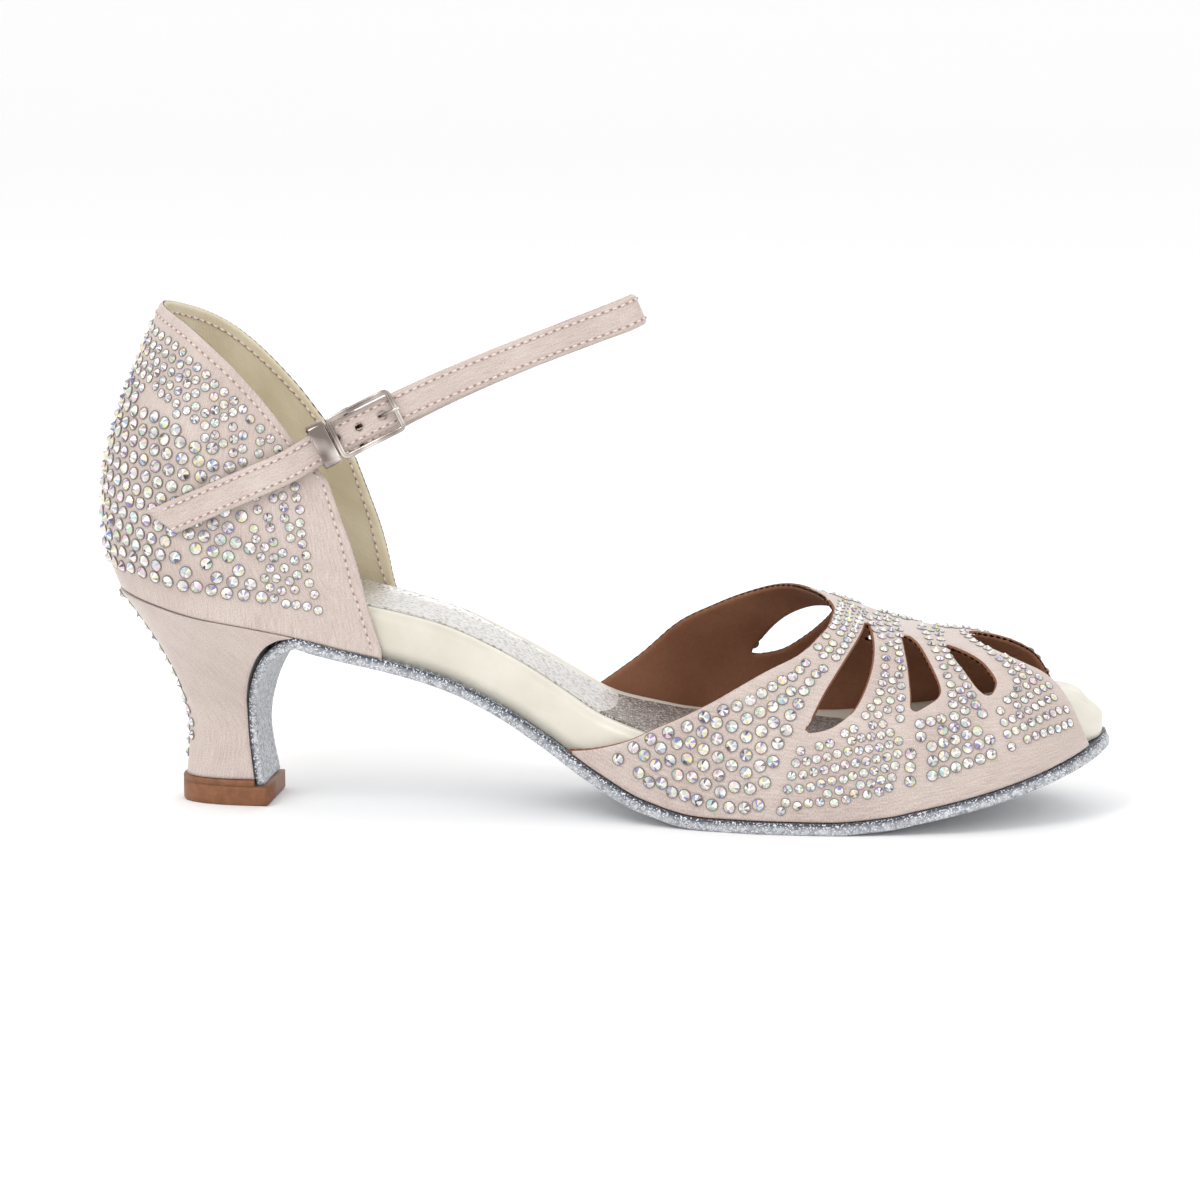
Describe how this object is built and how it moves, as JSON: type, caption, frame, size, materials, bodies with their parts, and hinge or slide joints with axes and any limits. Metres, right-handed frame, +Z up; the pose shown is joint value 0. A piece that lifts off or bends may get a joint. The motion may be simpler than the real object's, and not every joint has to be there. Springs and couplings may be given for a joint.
{
  "type": "ballroom dance shoe",
  "caption": "Open-waist ballroom dance shoe with peep toe, cut-out vamp, covered flared heel and a buckled instep strap.",
  "frame": {"origin": "middle of the plan on the floor, under the shoe", "axes": "+X from heel to toe, +Y to the inner (medial) side of the foot, +Z up"},
  "size_m": [0.241, 0.0744, 0.1225],
  "materials": {
    "sole_suede": "silver-grey suede with fine glitter",
    "footbed_leather": "smooth cream, slightly glossy",
    "sock_leather": "silver metallic, crackled",
    "satin": "blush satin, set with crystals",
    "crystal": "faceted, foiled back, iridescent",
    "lining": "brown suede lining",
    "quarter_lining": "beige soft lining",
    "thread": "matching thread",
    "heel_rubber": "brown, satin",
    "nickel": "polished nickel"
  },
  "bodies": {
    "root": {"outsole": "sole_suede", "footbed": "footbed_leather", "sock": "sock_leather", "quarter": "satin", "vamp": "satin", "heel": "satin", "top_piece": "heel_rubber", "strap": "satin", "buckle_frame": "nickel", "buckle_prong": "nickel", "buckle_keeper": "nickel", "buckle_tab": "satin"}
  },
  "joints": []
}
